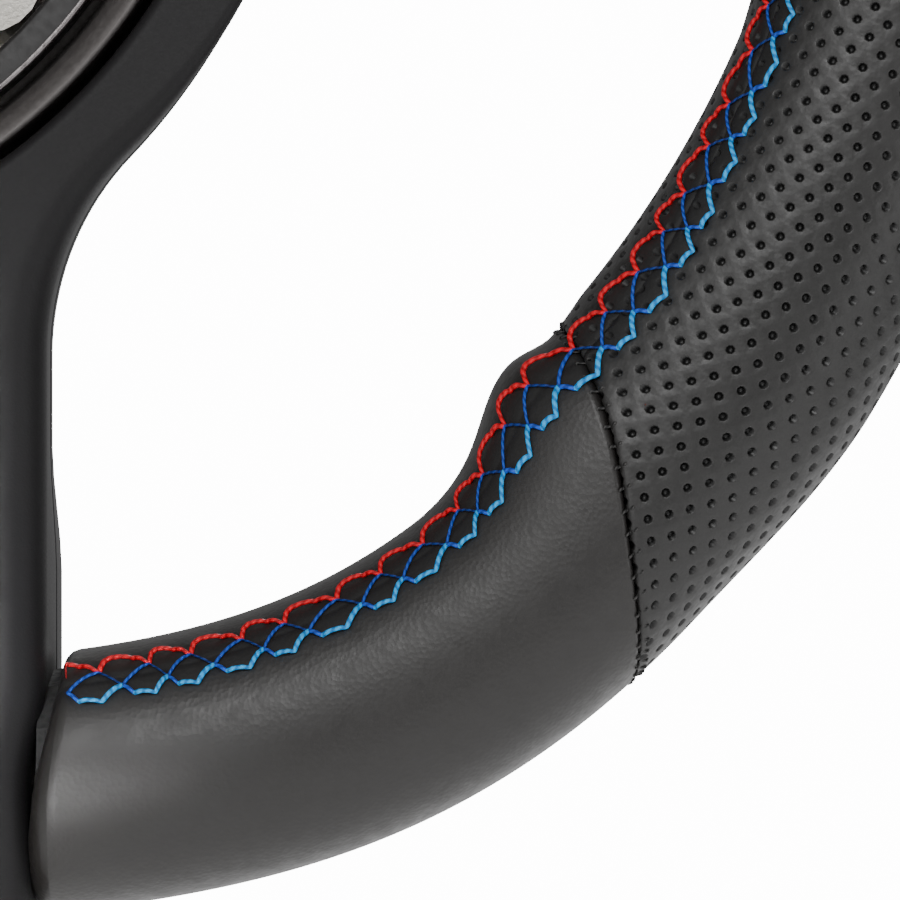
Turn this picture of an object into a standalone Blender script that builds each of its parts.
"""Flat-bottomed sports steering wheel on a ball-lock quick release hub.

Metres, +Z up. The driver sits at -Y, the steering column is at +Y, 12 o'clock is +Z.
The origin is the centre of the back face of the flange that bolts to the column.
The collar is drawn back and the lock balls are out, so the wheel is free to come off.
"""

import math

import bmesh
import bpy
from mathutils import Matrix, Vector

# ---------------------------------------------------------------- driving dimensions
GAP = 0.0003                      # between pieces that sit on each other

RIM_OUTER_R = 0.1845              # outside of the rim at the top and the sides
RIM_GRIP = 0.0345                 # thickness of the rim, measured in the wheel's plane
RIM_DEPTH = 0.033                 # thickness of the rim, front to back
RIM_Y = -0.066                    # mid-plane of the rim
FLAT_BOTTOM_Z = 0.168             # outside of the flat bottom, below the centre
FLAT_BOTTOM_GRIP = 0.036          # thickness of the rim along the flat bottom
FLAT_SHARPNESS = 13.5             # how tightly the round rim turns into the flat
SECTION_SQUARENESS = 2.2          # 2 is an ellipse
PALM_SWELL = 0.0023               # extra outside radius at the side grips
THUMB_BUMP = 0.0066               # height of the thumb rests on the inner edge
THUMB_ANGLE = 39.0                # degrees from 3 o'clock, up and down
THUMB_WIDTH = 3.3
GRIP_RAMP = 0.0052                # the grips fatten inwards towards the thumb rests
GRIP_RAMP_START = 17.0
SEAM_ANGLE = 40.65                # the skewed seam between the grip and the plain leather
SEAM_SKEW = 5.05
LEATHER = 0.0012
FOAM_GAP = 0.0011
LEATHER_END_X = 0.050             # where the lower leather stops beside the lower spoke

ARM_HALF = 0.0512                 # half width of the lower spoke
ARM_ON_RIM_HALF = 0.0478          # and where it crosses the rim
ARM_FILLET = 0.036
ARM_CORNER = 0.006
SIDE_ARM_HALF = 0.023
SIDE_ARM_FILLET = 0.024
WALL = 0.0025                     # of the plastic covers
COVER_FRONT_Y = -0.081
COVER_EDGE = 0.0035               # rounding of the covers' outer edge
COVER_SPLIT_Y = -0.062
ARM_BACK_Y = -0.0492
HUB_BACK_Y = -0.0415

BEZEL_FRONT_Y = -0.0792           # rings in the hub
BEZEL_BACK_Y = -0.064
BEZEL_SLOPE = 0.007               # depth of the slope inside the bezel
BEZEL_STEP = 0.0105               # and of the shelf behind it
BEZEL_SHELF = 0.0016
TRIM_FRONT_Y = -0.0765

PLATE_FRONT_Y = -0.0505           # cast plate in the hub
PLATE_THICKNESS = 0.006
PLATE_BORE_R = 0.014
BOSS_R = 0.0075
BOSS_FRONT_Y = -0.068
BOSS_HOLE_R = 0.0038
BOSS_HOLE_DEPTH = 0.0085
BOSS_ANGLES = (42.0, 138.0, 222.0, 318.0)
SPOKE_HALF = 0.015
SPOKE_THICKNESS = 0.008
CORE_HALF = 0.005                 # half width of the cast ring inside the rim
CORE_CLEARANCE = 0.0016           # of the foam's hollow round it

SPIGOT_R = 0.022                  # quick release, column side
SPIGOT_BORE_R = 0.015
SPIGOT_TIP_Y = -0.034
FLANGE_THICKNESS = 0.008
BOLT_COUNT = 6
COLUMN_HOLE_R = 0.0027
KEY_COUNT = 8
KEY_WIDTH = 0.0034
KEY_DEPTH = 0.0013
KEY_LENGTH = 0.0054

SLEEVE_WALL = 0.006               # quick release, wheel side
COUPLER_FLANGE_THICKNESS = 0.006
SCREW_R = 0.0021
BALL_Y = -0.024
BALL_R = 0.0036
BALL_COUNT = 6
BALL_TRAVEL = 0.0012
COLLAR_TRAVEL = 0.006
COLLAR_COLUMN_END = 0.0065        # from the ball to the end of the collar, column side
COLLAR_WHEEL_END = 0.010          # and wheel side

HOUSING_WALL = 0.0026             # horn button
HOUSING_FRONT_Y = -0.072
HOUSING_WEB_Y = -0.0565
CAP_FRONT_Y = -0.0785
HORN_TRAVEL = 0.0025

# The radii follow one another outwards, so that a change of one moves all that lie round it.
BORE_R = SPIGOT_R + GAP
SLEEVE_R = BORE_R + SLEEVE_WALL
COLLAR_OUTER_R = SLEEVE_R + 0.0097
BOLT_CIRCLE_R = SLEEVE_R + 0.0067
FLANGE_R = BOLT_CIRCLE_R + 0.007
HOUSING_R = FLANGE_R + 0.004
BOSS_CIRCLE_R = HOUSING_R + BOSS_R + 0.0035
PLATE_R = BOSS_CIRCLE_R + 0.009
TRIM_INNER_R = BOSS_CIRCLE_R + BOSS_R + 0.0017
TRIM_OUTER_R = TRIM_INNER_R + 0.0042
BEZEL_INNER_R = TRIM_OUTER_R + 0.002
BEZEL_OUTER_R = BEZEL_INNER_R + 0.0041
HUB_OPENING_R = BEZEL_OUTER_R + 0.0013
HUB_R = HUB_OPENING_R + 0.0102    # outside of the round hub cover
HUB_BACK_R = HUB_R - 0.0045

ROUND_STEPS = 30                  # facets round a turned piece
SECTION_STEPS = 12                # and round the rim's section


# ---------------------------------------------------------------- scene, bodies, finishes
for old in list(bpy.data.objects):
    bpy.data.objects.remove(old)
for old in list(bpy.data.collections):
    bpy.data.collections.remove(old)
PARTS = bpy.data.collections.new("quick_release_steering_wheel")
CUTTERS = bpy.data.collections.new("cutters")
bpy.context.scene.collection.children.link(PARTS)
bpy.context.scene.collection.children.link(CUTTERS)
CUTTERS.hide_render = True


def finish(name, colour, roughness, metallic=0.0):
    made = bpy.data.materials.new(name)
    made.use_nodes = True
    shader = made.node_tree.nodes["Principled BSDF"]
    shader.inputs["Base Color"].default_value = (*colour, 1.0)
    shader.inputs["Roughness"].default_value = roughness
    shader.inputs["Metallic"].default_value = metallic
    return made


SOFT_TOUCH = finish("soft_touch_plastic", (0.035, 0.033, 0.034), 0.55)
SMOOTH_LEATHER = finish("smooth_leather", (0.045, 0.044, 0.043), 0.5)
PERFORATED_LEATHER = finish("perforated_leather", (0.04, 0.038, 0.037), 0.55)
FOAM = finish("moulded_foam", (0.02, 0.02, 0.02), 0.9)
CAST = finish("cast_aluminium", (0.52, 0.50, 0.46), 0.45, 1.0)
SATIN = finish("satin_grey", (0.22, 0.21, 0.20), 0.4, 0.6)
BLACK = finish("black_plastic", (0.02, 0.019, 0.02), 0.4)
ANODISED = finish("black_anodised_aluminium", (0.03, 0.03, 0.032), 0.35, 0.9)
MACHINED = finish("machined_aluminium", (0.6, 0.6, 0.6), 0.3, 1.0)
STEEL = finish("zinc_plated_steel", (0.45, 0.45, 0.44), 0.3, 1.0)
SPRING_STEEL = finish("spring_steel", (0.35, 0.35, 0.36), 0.35, 1.0)
BALL_STEEL = finish("ball_steel", (0.7, 0.7, 0.7), 0.12, 1.0)
BRASS = finish("contact_brass", (0.6, 0.45, 0.2), 0.3, 1.0)
NYLON = finish("natural_nylon", (0.6, 0.58, 0.5), 0.5)


def empty(name, place=(0, 0, 0), parent=None):
    """A body's frame: its joint's axis passes through it."""
    made = bpy.data.objects.new(name, None)
    PARTS.objects.link(made)
    made.location = place
    made.parent = parent
    return made


COLUMN = empty("column_body")
WHEEL = empty("wheel_body", parent=COLUMN)
COLLAR = empty("lock_collar_body", (0, BALL_Y, 0), WHEEL)
HORN = empty("horn_button_body", (0, HOUSING_FRONT_Y, 0), WHEEL)
PIN = empty("contact_pin_body", (0, SPIGOT_TIP_Y, 0), WHEEL)
bpy.context.view_layer.update()


def place(obj, look, body):
    """Puts a piece, modelled in world coordinates, on its body."""
    obj.data.materials.clear()
    obj.data.materials.append(look)
    if obj.name not in PARTS.objects:
        PARTS.objects.link(obj)
    obj.parent = body
    obj.matrix_parent_inverse = body.matrix_world.inverted()
    for face in obj.data.polygons:
        face.use_smooth = True
    obj.data.set_sharp_from_angle(angle=math.radians(30))
    return obj


def cutter(obj):
    CUTTERS.objects.link(obj)
    obj.hide_render = True
    obj.display_type = "WIRE"
    return obj


def boolean(obj, other, operation):
    made = obj.modifiers.new(operation.lower() + "_" + other.name, "BOOLEAN")
    made.operation = operation
    made.solver = "EXACT"
    made.object = other


def subtract(obj, *others):
    for other in others:
        boolean(obj, other, "DIFFERENCE")


def unite(obj, *others):
    for other in others:
        boolean(obj, other, "UNION")


# ---------------------------------------------------------------- shapes
def mesh_object(name, shape):
    bmesh.ops.recalc_face_normals(shape, faces=shape.faces)
    mesh = bpy.data.meshes.new(name)
    shape.to_mesh(mesh)
    shape.free()
    return bpy.data.objects.new(name, mesh)


def turned(name, profile, steps=ROUND_STEPS, closed=True):
    """Turns (radius, y) points about the Y axis; an open profile starts and ends on the axis.

    The first edge lies half a step off 3 o'clock, so that no hole's centre falls on an edge."""
    mesh = bpy.data.meshes.new(name)
    edges = [(i, i + 1) for i in range(len(profile) - 1)]
    if closed:
        edges.append((len(profile) - 1, 0))
    half_step = math.pi / steps
    mesh.from_pydata([(r, y, 0.0) for r, y in profile], edges, [])
    obj = bpy.data.objects.new(name, mesh)
    screw = obj.modifiers.new("turn", "SCREW")
    screw.axis = "Y"
    screw.steps = steps
    screw.render_steps = steps
    screw.use_merge_vertices = True
    screw.merge_threshold = 0.00001
    CUTTERS.objects.link(obj)
    bpy.context.view_layer.update()
    evaluated = obj.evaluated_get(bpy.context.evaluated_depsgraph_get())
    shape = bmesh.new()
    shape.from_mesh(evaluated.to_mesh())
    bmesh.ops.rotate(shape, verts=shape.verts, matrix=Matrix.Rotation(half_step, 3, "Y"))
    bpy.data.objects.remove(obj)
    return mesh_object(name, shape)


def cylinder(name, radius, start, end, sides=16, end_radius=None):
    """A round bar between two points."""
    start, end = Vector(start), Vector(end)
    way = end - start
    shape = bmesh.new()
    turn = way.to_track_quat("Z", "Y").to_matrix().to_4x4()
    bmesh.ops.create_cone(
        shape, cap_ends=True, segments=sides, radius1=radius,
        radius2=radius if end_radius is None else end_radius, depth=way.length,
        matrix=Matrix.Translation((start + end) / 2) @ turn)
    return mesh_object(name, shape)


def block(name, low, high):
    low, high = Vector(low), Vector(high)
    shape = bmesh.new()
    middle = Matrix.Translation((low + high) / 2)
    bmesh.ops.create_cube(shape, size=1.0, matrix=middle @ Matrix.Diagonal((*(high - low), 1.0)))
    return mesh_object(name, shape)


def around(radius, degrees, y=0.0):
    angle = math.radians(degrees)
    return Vector((radius * math.cos(angle), y, radius * math.sin(angle)))


def loft(name, rings):
    """A closed body through rings of equally many points, with flat ends."""
    shape = bmesh.new()
    rows = [[shape.verts.new(point) for point in ring] for ring in rings]
    count = len(rows[0])
    for low, high in zip(rows, rows[1:]):
        for i in range(count):
            shape.faces.new((low[i], low[(i + 1) % count], high[(i + 1) % count], high[i]))
    shape.faces.new(rows[0])
    shape.faces.new(rows[-1])
    return mesh_object(name, shape)


# ---------------------------------------------------------------- rim
def soft_min(a, b):
    return (a ** -FLAT_SHARPNESS + b ** -FLAT_SHARPNESS) ** (-1 / FLAT_SHARPNESS)


def smooth_step(low, high, value):
    share = min(max((value - low) / (high - low), 0.0), 1.0)
    return share * share * (3 - 2 * share)


def rim_radii(t, padded=True):
    """Inner and outer radius of the rim at the polar angle t, in radians.

    The thumb rests and the fatter grips are pads that lie between the foam and the leather."""
    sine = math.sin(t)
    tilt = math.degrees(math.asin(abs(sine)))
    swell = PALM_SWELL * (1 - smooth_step(THUMB_ANGLE - 6, THUMB_ANGLE, tilt)) * padded
    outer = RIM_OUTER_R + swell
    inner = RIM_OUTER_R - RIM_GRIP
    if sine < -0.2:
        outer = soft_min(outer, -FLAT_BOTTOM_Z / sine)
        inner = soft_min(inner, -(FLAT_BOTTOM_Z - FLAT_BOTTOM_GRIP) / sine)
    bump = THUMB_BUMP * math.exp(-((tilt - THUMB_ANGLE) / THUMB_WIDTH) ** 2 / 2)
    ramp = GRIP_RAMP * (tilt - GRIP_RAMP_START) / (THUMB_ANGLE - 3 - GRIP_RAMP_START)
    if tilt > THUMB_ANGLE - 3:
        ramp = 0.0
    return inner - max(bump, ramp, 0.0) * padded, outer


def rim_point(t, phi, inset=0.0, padded=True):
    """phi runs round the section: 0 inside, 90 front, 180 outside, 270 back."""
    inner, outer = rim_radii(t, padded)
    half = (outer - inner) / 2 - inset
    depth = RIM_DEPTH / 2 - inset
    power = 2 / SECTION_SQUARENESS
    across = math.copysign(abs(math.cos(phi)) ** power, math.cos(phi)) * half
    forward = math.copysign(abs(math.sin(phi)) ** power, math.sin(phi)) * depth
    radius = (inner + outer) / 2 - across
    return Vector((radius * math.cos(t), RIM_Y - forward, radius * math.sin(t)))


def core_point(t, corner):
    """The cast ring in the rim: a hexagonal section."""
    inner, outer = rim_radii(t, False)
    angle = (corner + 0.5) * math.pi / 3
    radius = (inner + outer) / 2 + CORE_HALF * math.cos(angle)
    y = RIM_Y + CORE_HALF * math.sin(angle)
    return Vector((radius * math.cos(t), y, radius * math.sin(t)))


def tube(name, start, end, outer, inner, lengths, rounds):
    """A hollow sleeve on the rim. start and end give the angle of each end at phi."""
    shape = bmesh.new()
    skins = []
    for surface in (outer, inner):
        rows = []
        for i in range(lengths + 1):
            row = []
            for j in range(rounds):
                phi = 2 * math.pi * j / rounds
                t = start(phi) + (end(phi) - start(phi)) * i / lengths
                row.append(shape.verts.new(surface(t, phi)))
            rows.append(row)
        skins.append(rows)
    for rows, flip in zip(skins, (False, True)):
        for a, b in zip(rows, rows[1:]):
            for j in range(rounds):
                k = (j + 1) % rounds
                corners = (a[j], a[k], b[k], b[j])
                shape.faces.new(corners[::-1] if flip else corners)
    for index in (0, -1):
        out, low = skins[0][index], skins[1][index]
        for j in range(rounds):
            k = (j + 1) % rounds
            shape.faces.new((out[j], out[k], low[k], low[j]))
    return mesh_object(name, shape)


SEAM_GAP_ANGLE = GAP / RIM_OUTER_R


def lower_seam(phi):
    return -math.radians(SEAM_ANGLE - SEAM_SKEW * math.cos(phi))


def upper_seam(phi):
    return math.radians(SEAM_ANGLE - SEAM_SKEW * math.cos(phi))


def beside_spoke(*surfaces):
    """The angle, for every phi, at which these surfaces stop beside the lower spoke."""
    def end(phi):
        t = -math.radians(65)
        for _ in range(12):
            radius = min(surface(t, phi).xz.length for surface in surfaces)
            t = -math.acos(LEATHER_END_X / radius)
        return t
    return end


arm_end = beside_spoke(rim_point)


def mirrored(angle):
    return lambda phi: math.pi - angle(phi)


def shifted(angle, by):
    return lambda phi: angle(phi) + by


def leather(name, start, end, lengths, look, rounds=SECTION_STEPS):
    sleeve = tube(name, start, end, rim_point,
                  lambda t, phi: rim_point(t, phi, LEATHER), lengths, rounds)
    return place(sleeve, look, WHEEL)


leather("leather_top", shifted(upper_seam, SEAM_GAP_ANGLE),
        shifted(mirrored(upper_seam), -SEAM_GAP_ANGLE), 14, SMOOTH_LEATHER)
grips = [
    leather("leather_grip_right", shifted(lower_seam, SEAM_GAP_ANGLE),
            shifted(upper_seam, -SEAM_GAP_ANGLE), 14, PERFORATED_LEATHER),
    leather("leather_grip_left", shifted(mirrored(lower_seam), -SEAM_GAP_ANGLE),
            shifted(mirrored(upper_seam), SEAM_GAP_ANGLE), 14, PERFORATED_LEATHER),
]
leather("leather_lower_right", arm_end, shifted(lower_seam, -SEAM_GAP_ANGLE), 6, SMOOTH_LEATHER)
leather("leather_lower_left", mirrored(arm_end), shifted(mirrored(lower_seam), SEAM_GAP_ANGLE),
        6, SMOOTH_LEATHER)


def foam_skin(t, phi):
    return rim_point(t, phi, LEATHER + FOAM_GAP, False)


def foam_hollow(t, phi):
    inner, outer = rim_radii(t, False)
    hollow = (CORE_HALF + CORE_CLEARANCE) / math.cos(math.pi / 8)
    radius = (inner + outer) / 2 - hollow * math.cos(phi)
    y = RIM_Y - hollow * math.sin(phi)
    return Vector((radius * math.cos(t), y, radius * math.sin(t)))


foam_end = beside_spoke(foam_skin, foam_hollow)
foam = place(tube("rim_foam", foam_end, mirrored(foam_end), foam_skin, foam_hollow, 40,
                  SECTION_STEPS), FOAM, WHEEL)


# ---------------------------------------------------------------- covers
def arc(cx, cz, radius, start, end, pieces):
    """Points of an arc in the XZ plane, from start to end degrees, both ends included."""
    step = (end - start) / pieces
    return [(cx + radius * math.cos(math.radians(start + step * i)),
             cz + radius * math.sin(math.radians(start + step * i))) for i in range(pieces + 1)]


RIM_INSIDE_Z = rim_point(arm_end(0.0), 0.0).z
STEP_ABOVE_RIM = 0.0028           # where the lower spoke narrows
SIDE_ARM_END_X = math.sqrt((RIM_OUTER_R - RIM_GRIP) ** 2 - SIDE_ARM_HALF ** 2) - 3 * GAP


def cover_outline(inset=0.0):
    """Right half of the covers' outline, from the bottom centre up to the top centre."""
    arm = ARM_HALF - inset
    on_rim = ARM_ON_RIM_HALF - inset
    hub = HUB_R - inset
    fillet = ARM_FILLET + inset
    side = SIDE_ARM_HALF - inset
    side_fillet = SIDE_ARM_FILLET + inset
    corner = max(ARM_CORNER - inset, 0.0005)
    bottom = -(FLAT_BOTTOM_Z - inset)
    step_z = RIM_INSIDE_Z + STEP_ABOVE_RIM + inset
    points = arc(on_rim - corner, bottom + corner, corner, -90, 0, 3)
    points += [(on_rim, step_z - 0.003), (arm, step_z)]
    fillet_z = -math.sqrt((hub + fillet) ** 2 - (arm + fillet) ** 2)
    toward_hub = math.degrees(math.atan2(-fillet_z, -(arm + fillet)))
    points += arc(arm + fillet, fillet_z, fillet, 180, toward_hub, 5)
    side_x = math.sqrt((hub + side_fillet) ** 2 - (side + side_fillet) ** 2)
    side_angle = math.degrees(math.atan2(side + side_fillet, side_x))
    hub_start = math.degrees(math.atan2(fillet_z, arm + fillet))
    points += arc(0, 0, hub, hub_start, -side_angle, 5)[1:-1]
    points += arc(side_x, -(side + side_fillet), side_fillet, 180 - side_angle, 90, 4)
    points += [(SIDE_ARM_END_X - inset, -side), (SIDE_ARM_END_X - inset, side)]
    points += arc(side_x, side + side_fillet, side_fillet, -90, side_angle - 180, 4)
    points += arc(0, 0, hub, side_angle, 90, 8)[1:]
    return points


def cover_ring(y, inset):
    right = cover_outline(inset)
    left = [(-x, z) for x, z in reversed(right) if x > 1e-6]
    return [(x, y, z) for x, z in right + left]


front_cover = place(loft("front_cover", [
    cover_ring(COVER_SPLIT_Y - GAP, 0),
    cover_ring(COVER_FRONT_Y + COVER_EDGE, 0),
    cover_ring(COVER_FRONT_Y + COVER_EDGE * 0.3, COVER_EDGE * 0.3),
    cover_ring(COVER_FRONT_Y, COVER_EDGE),
]), SOFT_TOUCH, WHEEL)
front_hollow = cutter(loft("front_hollow", [
    cover_ring(COVER_SPLIT_Y + 0.001, WALL),
    cover_ring(COVER_FRONT_Y + WALL + COVER_EDGE * 0.7, WALL),
    cover_ring(COVER_FRONT_Y + WALL, WALL + COVER_EDGE * 0.7),
]))
hub_opening = cutter(cylinder("hub_opening", HUB_OPENING_R, (0, COVER_FRONT_Y - 0.01, 0),
                              (0, COVER_SPLIT_Y - 0.004, 0), 48))

rear_cover = place(loft("rear_cover", [
    cover_ring(COVER_SPLIT_Y + GAP, 0),
    cover_ring(ARM_BACK_Y - COVER_EDGE, 0),
    cover_ring(ARM_BACK_Y, COVER_EDGE),
]), SOFT_TOUCH, WHEEL)
rear_dome = cutter(cylinder("rear_dome", HUB_BACK_R, (0, ARM_BACK_Y - 0.001, 0),
                            (0, HUB_BACK_Y, 0), 36, HUB_BACK_R - 0.004))
rear_hollow = cutter(loft("rear_hollow", [
    cover_ring(COVER_SPLIT_Y - 0.001, WALL),
    cover_ring(ARM_BACK_Y - WALL, WALL),
]))
rear_dome_hollow = cutter(cylinder("rear_dome_hollow", HUB_BACK_R - WALL,
                                   (0, ARM_BACK_Y - WALL - 0.001, 0),
                                   (0, HUB_BACK_Y - WALL, 0), 36, HUB_BACK_R - 0.004 - WALL))
rear_opening = cutter(cylinder("rear_opening", FLANGE_R + 0.001, (0, HUB_BACK_Y - 0.006, 0),
                               (0, HUB_BACK_Y + 0.006, 0), 36))
unite(rear_cover, rear_dome)
subtract(rear_cover, rear_hollow, rear_dome_hollow, rear_opening)


# ---------------------------------------------------------------- cast armature
def spoke(name, degrees, end_r, grow=0.0, start_r=HOUSING_R + 0.004):
    """A cast spoke: from the plate it steps forward into the rim's mid-plane."""
    half = SPOKE_HALF + grow
    thick = SPOKE_THICKNESS / 2 + grow
    stations = ((start_r, PLATE_FRONT_Y + PLATE_THICKNESS / 3 - 0.001),
                (PLATE_R + 0.010, COVER_SPLIT_Y + 0.004), (end_r, RIM_Y))
    turn = Matrix.Rotation(-math.radians(degrees), 4, "Y")
    rings = []
    for radius, y in stations:
        corners = ((-half, -thick), (half, -thick), (half, thick), (-half, thick))
        rings.append([turn @ Vector((radius, y + b, a)) for a, b in corners])
    return loft(name, rings)


RIM_MIDDLE_R = RIM_OUTER_R - RIM_GRIP / 2
BOTTOM_MIDDLE_R = FLAT_BOTTOM_Z - FLAT_BOTTOM_GRIP / 2
SPOKES = (("right", 0.0, RIM_MIDDLE_R), ("left", 180.0, RIM_MIDDLE_R),
          ("lower", 270.0, BOTTOM_MIDDLE_R))

armature = turned("armature", [
    (PLATE_BORE_R, PLATE_FRONT_Y + PLATE_THICKNESS), (PLATE_R, PLATE_FRONT_Y + PLATE_THICKNESS),
    (PLATE_R, PLATE_FRONT_Y), (PLATE_BORE_R, PLATE_FRONT_Y)])
place(armature, CAST, WHEEL)
for side, degrees, end_r in SPOKES:
    unite(armature, cutter(spoke("spoke_" + side, degrees, end_r)))
CORE_STEPS = 48
core_rings = []
for i in range(CORE_STEPS):
    t = 2 * math.pi * i / CORE_STEPS
    core_rings.append([core_point(t, corner) for corner in range(6)])
core_shape = bmesh.new()
core_rows = [[core_shape.verts.new(point) for point in ring] for ring in core_rings]
for i, row in enumerate(core_rows):
    onward = core_rows[(i + 1) % len(core_rows)]
    for j in range(6):
        k = (j + 1) % 6
        core_shape.faces.new((row[j], row[k], onward[k], onward[j]))
unite(armature, cutter(mesh_object("core_ring", core_shape)))
for i, degrees in enumerate(BOSS_ANGLES, 1):
    boss = cylinder(f"boss_{i}", BOSS_R, around(BOSS_CIRCLE_R, degrees, PLATE_FRONT_Y + 0.002),
                    around(BOSS_CIRCLE_R, degrees, BOSS_FRONT_Y), 20)
    unite(armature, cutter(boss))
for i, degrees in enumerate(BOSS_ANGLES, 1):
    mouth = around(BOSS_CIRCLE_R, degrees, BOSS_FRONT_Y)
    hole = cylinder(f"boss_hole_{i}", BOSS_HOLE_R, mouth - Vector((0, 0.002, 0)),
                    mouth + Vector((0, BOSS_HOLE_DEPTH, 0)), 14)
    back = around(BOSS_CIRCLE_R, degrees, PLATE_FRONT_Y + PLATE_THICKNESS + 0.002)
    rear_hole = cylinder(f"boss_rear_hole_{i}", SCREW_R + GAP, back,
                         back - Vector((0, 0.0125, 0)), 10)
    subtract(armature, cutter(hole), cutter(rear_hole))

# The covers and the foam open round the spokes and the ring that pass through them.
for side, degrees, end_r in SPOKES[:2]:
    way = cutter(spoke("spoke_way_" + side, degrees, end_r, 2 * GAP, PLATE_R))
    subtract(foam, way)
    subtract(grips[0] if side == "right" else grips[1], way)
    subtract(front_cover, way)
    subtract(rear_cover, way)
for name, sign in (("right", 1), ("left", -1)):
    half_y = CORE_HALF + 3 * GAP
    half_z = CORE_HALF + 0.004
    low = min(sign * (ARM_ON_RIM_HALF - 2 * WALL), sign * (ARM_HALF + 0.002))
    high = max(sign * (ARM_ON_RIM_HALF - 2 * WALL), sign * (ARM_HALF + 0.002))
    way = cutter(block("ring_way_" + name, (low, RIM_Y - half_y, -BOTTOM_MIDDLE_R - half_z),
                       (high, RIM_Y + half_y, -BOTTOM_MIDDLE_R + half_z)))
    subtract(front_cover, way)
    subtract(rear_cover, way)
subtract(front_cover, front_hollow, hub_opening)


# ---------------------------------------------------------------- rings in the hub
SHELF_Y = BEZEL_FRONT_Y + BEZEL_STEP
place(turned("hub_bezel", [
    (BEZEL_OUTER_R, BEZEL_BACK_Y), (BEZEL_OUTER_R, BEZEL_FRONT_Y),
    (BEZEL_INNER_R, BEZEL_FRONT_Y + BEZEL_SLOPE), (BEZEL_INNER_R - 0.0015, SHELF_Y),
    (TRIM_INNER_R, SHELF_Y), (TRIM_INNER_R, SHELF_Y + BEZEL_SHELF),
    (BEZEL_INNER_R, SHELF_Y + BEZEL_SHELF), (BEZEL_INNER_R, BEZEL_BACK_Y)],
    40), SATIN, WHEEL)
TRIM_BACK_Y = SHELF_Y - GAP
place(turned("hub_trim_ring", [
    (TRIM_OUTER_R, TRIM_BACK_Y), (TRIM_OUTER_R, TRIM_FRONT_Y + 0.0004),
    (TRIM_OUTER_R - 0.0004, TRIM_FRONT_Y), (TRIM_INNER_R, TRIM_FRONT_Y),
    (TRIM_INNER_R, TRIM_BACK_Y)], 40), BLACK, WHEEL)


# ---------------------------------------------------------------- screws
def cap_screw(name, at, toward, head_r, head, shank_r, length, look=STEEL):
    """A socket screw: at is the underside of its head, toward points to its tip."""
    at, toward = Vector(at), Vector(toward)
    screw = cylinder(name, head_r, at - toward * head, at, 12)
    place(screw, look, WHEEL)
    socket = cylinder(name + "_socket", head_r * 0.5, at - toward * (head + 0.001),
                      at - toward * head * 0.4, 6)
    subtract(screw, cutter(socket))
    if length:
        shank = cylinder(name + "_shank", shank_r, at - toward * head * 0.3,
                         at + toward * length, 8)
        unite(screw, cutter(shank))
    return screw


BACKWARD = Vector((0, 1, 0))
for i, degrees in enumerate(BOSS_ANGLES, 1):
    seat = around(BOSS_CIRCLE_R, degrees, BOSS_FRONT_Y + BOSS_HOLE_DEPTH - GAP)
    cap_screw(f"boss_screw_{i}", seat, BACKWARD, BOSS_HOLE_R - GAP, 0.0055, 0, 0)
    seat = around(BOSS_CIRCLE_R, degrees, HUB_BACK_Y + GAP)
    cap_screw(f"rear_cover_screw_{i}", seat, -BACKWARD, 0.0036, 0.0026, SCREW_R, 0.0125)
    hole = cylinder(f"rear_cover_hole_{i}", SCREW_R + GAP, seat + BACKWARD * 0.002,
                    seat - BACKWARD * 0.008, 12)
    subtract(rear_cover, cutter(hole))

BOLT_ANGLES = [60 * i + 30 for i in range(BOLT_COUNT)]

# ---------------------------------------------------------------- quick release, wheel side
SLEEVE_END_Y = -FLANGE_THICKNESS - 2 * GAP
COUPLER_FRONT_Y = PLATE_FRONT_Y + PLATE_THICKNESS + GAP
COUPLER_STEP_Y = COUPLER_FRONT_Y + COUPLER_FLANGE_THICKNESS
WEB_R = 0.012
RETAINER_Y = BALL_Y + COLLAR_COLUMN_END + COLLAR_TRAVEL + 0.0007
RETAINER_THICKNESS = 0.0012
GROOVE_DEPTH = 0.001
coupler = place(turned("coupler_body", [
    (WEB_R, COUPLER_FRONT_Y), (WEB_R, COUPLER_STEP_Y), (BORE_R, COUPLER_STEP_Y),
    (BORE_R, SLEEVE_END_Y), (SLEEVE_R, SLEEVE_END_Y),
    (SLEEVE_R, RETAINER_Y + RETAINER_THICKNESS + GAP),
    (SLEEVE_R - GROOVE_DEPTH, RETAINER_Y + RETAINER_THICKNESS + GAP),
    (SLEEVE_R - GROOVE_DEPTH, RETAINER_Y - GAP), (SLEEVE_R, RETAINER_Y - GAP),
    (SLEEVE_R, COUPLER_STEP_Y), (FLANGE_R, COUPLER_STEP_Y), (FLANGE_R, COUPLER_FRONT_Y)]),
    ANODISED, WHEEL)
place(turned("collar_retaining_ring", [
    (SLEEVE_R - GROOVE_DEPTH + GAP, RETAINER_Y),
    (SLEEVE_R - GROOVE_DEPTH + GAP, RETAINER_Y + RETAINER_THICKNESS),
    (SLEEVE_R + 0.0028, RETAINER_Y + RETAINER_THICKNESS), (SLEEVE_R + 0.0028, RETAINER_Y)], 32),
    SPRING_STEEL, WHEEL)
for i, degrees in enumerate(BOLT_ANGLES, 1):
    through = cylinder(f"coupler_bolt_way_{i}", SCREW_R + GAP,
                       around(BOLT_CIRCLE_R, degrees, PLATE_FRONT_Y - 0.002),
                       around(BOLT_CIRCLE_R, degrees, COUPLER_STEP_Y + 0.002), 12)
    cutter(through)
    subtract(coupler, through)
    subtract(armature, through)
    cap_screw(f"coupler_screw_{i}", around(BOLT_CIRCLE_R, degrees, PLATE_FRONT_Y - GAP),
              BACKWARD, 0.0044, 0.005, SCREW_R, 0.011)

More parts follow.
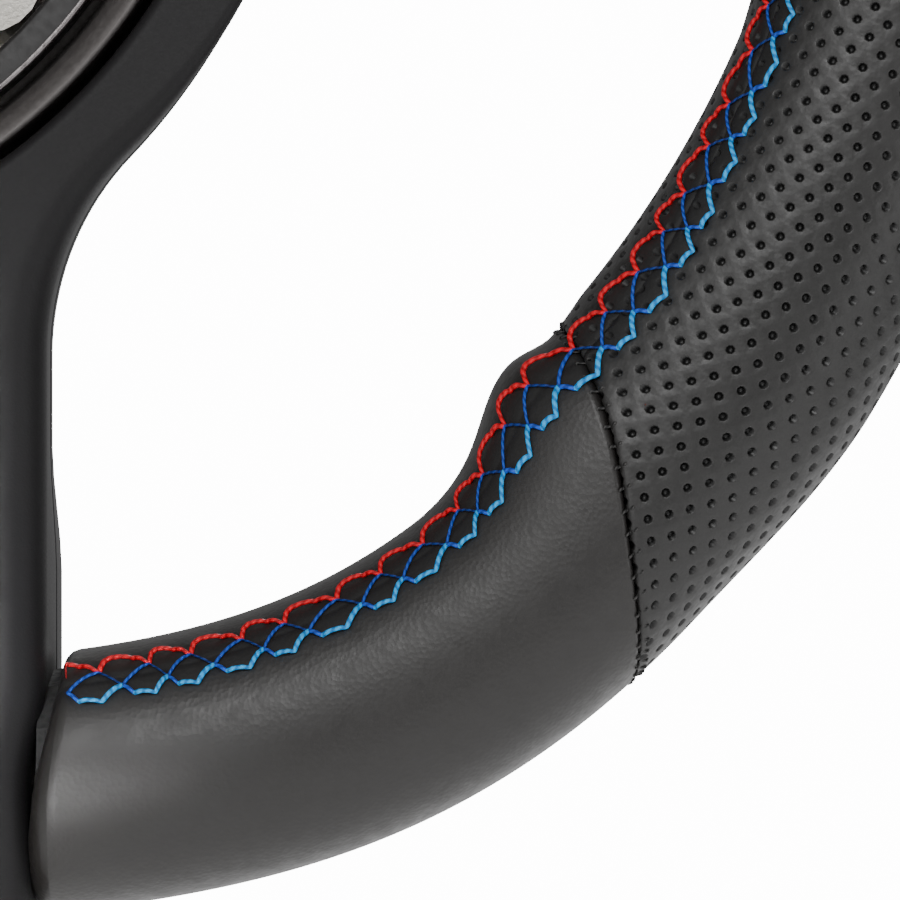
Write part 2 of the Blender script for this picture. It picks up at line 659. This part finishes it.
KEY_START_Y = SPIGOT_TIP_Y + KEY_LENGTH
for i in range(KEY_COUNT):
    turn = Matrix.Rotation(2 * math.pi * i / KEY_COUNT, 4, "Y")
    half = KEY_WIDTH / 2
    key = block(f"key_{i}", (SPIGOT_R - KEY_DEPTH + GAP, SPIGOT_TIP_Y, -half),
                (BORE_R + 0.001, KEY_START_Y, half))
    key.data.transform(turn)
    unite(coupler, cutter(key))
for i in range(BALL_COUNT):
    degrees = 60 * i
    hole = cylinder(f"ball_hole_{i + 1}", BALL_R + GAP, around(SPIGOT_R - 0.002, degrees, BALL_Y),
                    around(SLEEVE_R + 0.002, degrees, BALL_Y), 14)
    subtract(coupler, cutter(hole))

# ---------------------------------------------------------------- balls and collar
BALL_OUT_R = SPIGOT_R + BALL_R + 0.0005
for i in range(BALL_COUNT):
    centre = around(BALL_OUT_R, 60 * i, BALL_Y)
    frame = empty(f"lock_ball_{i + 1}_body", centre, WHEEL)
    bpy.context.view_layer.update()
    ball = bmesh.new()
    bmesh.ops.create_icosphere(ball, subdivisions=2, radius=BALL_R,
                               matrix=Matrix.Translation(centre))
    place(mesh_object(f"lock_ball_{i + 1}", ball), BALL_STEEL, frame)

LAND_R = SLEEVE_R + GAP
RELIEF_R = BALL_OUT_R + BALL_R + 0.0004
RAMP_END_Y = BALL_Y - (RELIEF_R - LAND_R) * COLLAR_TRAVEL / BALL_TRAVEL
COLLAR_BACK_Y = BALL_Y + COLLAR_COLUMN_END
COLLAR_END_Y = min(BALL_Y - COLLAR_WHEEL_END, RAMP_END_Y - 0.001)
POCKET_INNER_R = LAND_R + 0.0029
POCKET_OUTER_R = POCKET_INNER_R + 0.0032
POCKET_DEPTH = 0.0055
place(turned("lock_collar", [
    (LAND_R, COLLAR_BACK_Y), (COLLAR_OUTER_R - 0.001, COLLAR_BACK_Y),
    (COLLAR_OUTER_R, COLLAR_BACK_Y - 0.001), (COLLAR_OUTER_R, COLLAR_END_Y + 0.001),
    (COLLAR_OUTER_R - 0.001, COLLAR_END_Y), (POCKET_OUTER_R, COLLAR_END_Y),
    (POCKET_OUTER_R, COLLAR_END_Y + POCKET_DEPTH), (POCKET_INNER_R, COLLAR_END_Y + POCKET_DEPTH),
    (POCKET_INNER_R, COLLAR_END_Y), (LAND_R, COLLAR_END_Y), (LAND_R, RAMP_END_Y),
    (RELIEF_R, BALL_Y), (RELIEF_R, BALL_Y + BALL_R), (LAND_R, BALL_Y + BALL_R + 0.0006)]),
    ANODISED, COLLAR)


def coil(name, radius, wire_r, low_y, high_y, turns, look, body, per_turn=12):
    """A compression spring about the Y axis, between two faces."""
    curve = bpy.data.curves.new(name, "CURVE")
    curve.dimensions = "3D"
    curve.bevel_depth = wire_r
    curve.bevel_resolution = 1
    curve.use_fill_caps = True
    spline = curve.splines.new("POLY")
    count = int(turns * per_turn)
    spline.points.add(count)
    for i in range(count + 1):
        angle = 2 * math.pi * i / per_turn
        y = low_y + wire_r + (high_y - low_y - 2 * wire_r) * i / count
        spline.points[i].co = (radius * math.cos(angle), y, radius * math.sin(angle), 1.0)
    guide = bpy.data.objects.new(name + "_guide", curve)
    CUTTERS.objects.link(guide)
    bpy.context.view_layer.update()
    evaluated = guide.evaluated_get(bpy.context.evaluated_depsgraph_get())
    shape = bmesh.new()
    shape.from_mesh(evaluated.to_mesh())
    bmesh.ops.remove_doubles(shape, verts=shape.verts, dist=0.000001)
    bpy.data.objects.remove(guide)
    return place(mesh_object(name, shape), look, body)


coil("collar_spring", (POCKET_INNER_R + POCKET_OUTER_R) / 2, 0.0008, COUPLER_STEP_Y + GAP,
     COLLAR_END_Y + POCKET_DEPTH - GAP, 3.25, SPRING_STEEL, WHEEL, 20)

# ---------------------------------------------------------------- horn contact pin
INSULATOR_R = WEB_R - GAP
INSULATOR_FRONT_Y = COUPLER_FRONT_Y - 0.004
PIN_R = 0.0015
PIN_HEAD_R = 0.003
PIN_HEAD_Y = COUPLER_STEP_Y - 0.0017
POCKET_END_Y = INSULATOR_FRONT_Y + 0.0014
CONTACT_Y = SPIGOT_TIP_Y + 0.0006
place(turned("contact_pin_insulator", [
    (0, POCKET_END_Y), (PIN_HEAD_R + GAP, POCKET_END_Y),
    (PIN_HEAD_R + GAP, PIN_HEAD_Y + GAP), (PIN_R + GAP, PIN_HEAD_Y + GAP),
    (PIN_R + GAP, COUPLER_STEP_Y + 0.0016), (INSULATOR_R, COUPLER_STEP_Y + 0.0016),
    (INSULATOR_R, INSULATOR_FRONT_Y), (0, INSULATOR_FRONT_Y)], 24, False), NYLON, WHEEL)
place(turned("contact_pin", [
    (0, PIN_HEAD_Y - 0.0012), (PIN_HEAD_R, PIN_HEAD_Y - 0.0012), (PIN_HEAD_R, PIN_HEAD_Y),
    (PIN_R, PIN_HEAD_Y), (PIN_R, CONTACT_Y - GAP - 0.0005),
    (PIN_R * 0.6, CONTACT_Y - GAP), (0, CONTACT_Y - GAP)], 16, False), BRASS, PIN)
coil("contact_pin_spring", PIN_HEAD_R - 0.0008, 0.0003, POCKET_END_Y + GAP,
     PIN_HEAD_Y - 0.0012 - GAP, 3, SPRING_STEEL, WHEEL, 8)

# ---------------------------------------------------------------- quick release, column side
BALL_GROOVE_R = SPIGOT_R + 0.0005 - BALL_TRAVEL - 0.0005
spigot = place(turned("column_spigot", [
    (SPIGOT_BORE_R, 0), (SPIGOT_BORE_R, SPIGOT_TIP_Y), (SPIGOT_R - 0.0012, SPIGOT_TIP_Y),
    (SPIGOT_R, SPIGOT_TIP_Y + 0.0012), (SPIGOT_R, BALL_Y - 0.0032),
    (BALL_GROOVE_R, BALL_Y - 0.0016), (BALL_GROOVE_R, BALL_Y + 0.0016),
    (SPIGOT_R, BALL_Y + 0.0032), (SPIGOT_R, -FLANGE_THICKNESS), (FLANGE_R, -FLANGE_THICKNESS),
    (FLANGE_R, 0)]), MACHINED, COLUMN)
for i, degrees in enumerate(BOLT_ANGLES, 1):
    hole = cylinder(f"column_hole_{i}", COLUMN_HOLE_R,
                    around(BOLT_CIRCLE_R, degrees, -FLANGE_THICKNESS - 0.002),
                    around(BOLT_CIRCLE_R, degrees, 0.002), 12)
    subtract(spigot, cutter(hole))
for i in range(KEY_COUNT):
    turn = Matrix.Rotation(2 * math.pi * i / KEY_COUNT, 4, "Y")
    half = KEY_WIDTH / 2 + GAP
    way = block(f"key_way_{i}", (SPIGOT_R - KEY_DEPTH, SPIGOT_TIP_Y - 0.002, -half),
                (SPIGOT_R + 0.002, KEY_START_Y + GAP, half))
    way.data.transform(turn)
    subtract(spigot, cutter(way))
CONTACT_BACK_Y = CONTACT_Y + 0.001
place(turned("contact_ring_insulator", [
    (0, CONTACT_BACK_Y + GAP), (SPIGOT_BORE_R - GAP, CONTACT_BACK_Y + GAP),
    (SPIGOT_BORE_R - GAP, CONTACT_BACK_Y + 0.010), (0, CONTACT_BACK_Y + 0.010)], 24, False),
    NYLON, COLUMN)
place(turned("contact_disc", [
    (0, CONTACT_Y), (0.008, CONTACT_Y), (0.008, CONTACT_BACK_Y), (0, CONTACT_BACK_Y)],
    24, False), BRASS, COLUMN)

# ---------------------------------------------------------------- horn button
HOUSING_BORE_R = HOUSING_R - HOUSING_WALL
CAP_R = HOUSING_BORE_R - 0.0016
CAP_FLANGE_R = HOUSING_BORE_R - GAP
WEB_THICKNESS = 0.0025
LIP = 0.0015
FLANGE_FRONT_Y = HOUSING_FRONT_Y + LIP + GAP
FLANGE_BACK_Y = FLANGE_FRONT_Y + 0.0015
HOUSING_BASE_Y = PLATE_FRONT_Y - GAP
WEB_FRONT_Y = HOUSING_WEB_Y - WEB_THICKNESS
place(turned("horn_button_housing", [
    (HOUSING_R, HOUSING_BASE_Y), (HOUSING_R, HOUSING_FRONT_Y), (CAP_R + GAP, HOUSING_FRONT_Y),
    (CAP_R + GAP, HOUSING_FRONT_Y + LIP), (HOUSING_BORE_R, HOUSING_FRONT_Y + LIP),
    (HOUSING_BORE_R, WEB_FRONT_Y), (0.006, WEB_FRONT_Y), (0.006, HOUSING_WEB_Y),
    (HOUSING_BORE_R, HOUSING_WEB_Y), (HOUSING_BORE_R, HOUSING_BASE_Y)]), BLACK, WHEEL)
CAP_WALL = 0.0022
CONTACT_IN_R = 0.020
CONTACT_OUT_R = 0.026
PLATE_CONTACT_Y = WEB_FRONT_Y - GAP
MOVING_CONTACT_Y = PLATE_CONTACT_Y - 0.0008 - HORN_TRAVEL - GAP
STEM_END_Y = MOVING_CONTACT_Y - 0.0008 - GAP
UNDER_CAP_Y = CAP_FRONT_Y + 2 * CAP_WALL
place(turned("horn_button_cap", [
    (0, CAP_FRONT_Y + CAP_WALL + 0.001), (CONTACT_IN_R, UNDER_CAP_Y),
    (CONTACT_IN_R, STEM_END_Y), (CONTACT_OUT_R, STEM_END_Y), (CONTACT_OUT_R, UNDER_CAP_Y),
    (CAP_R - CAP_WALL, UNDER_CAP_Y), (CAP_R - CAP_WALL, FLANGE_BACK_Y),
    (CAP_FLANGE_R, FLANGE_BACK_Y), (CAP_FLANGE_R, FLANGE_FRONT_Y), (CAP_R, FLANGE_FRONT_Y),
    (CAP_R, CAP_FRONT_Y + 0.004), (CAP_R - 0.0015, CAP_FRONT_Y + 0.0022),
    (CAP_R * 0.6, CAP_FRONT_Y + 0.0008), (0, CAP_FRONT_Y)], ROUND_STEPS, False), BLACK, HORN)
place(turned("horn_contact_plate", [
    (CONTACT_IN_R, PLATE_CONTACT_Y), (CONTACT_OUT_R, PLATE_CONTACT_Y),
    (CONTACT_OUT_R, PLATE_CONTACT_Y - 0.0008), (CONTACT_IN_R, PLATE_CONTACT_Y - 0.0008)], 24),
    BRASS, WHEEL)
place(turned("horn_contact_ring", [
    (CONTACT_IN_R, MOVING_CONTACT_Y), (CONTACT_OUT_R, MOVING_CONTACT_Y),
    (CONTACT_OUT_R, MOVING_CONTACT_Y - 0.0008), (CONTACT_IN_R, MOVING_CONTACT_Y - 0.0008)], 24),
    BRASS, HORN)
coil("horn_spring", 0.0125, 0.0007, CAP_FRONT_Y + CAP_WALL + 0.0032, WEB_FRONT_Y - GAP, 4,
     SPRING_STEEL, WHEEL, 10)
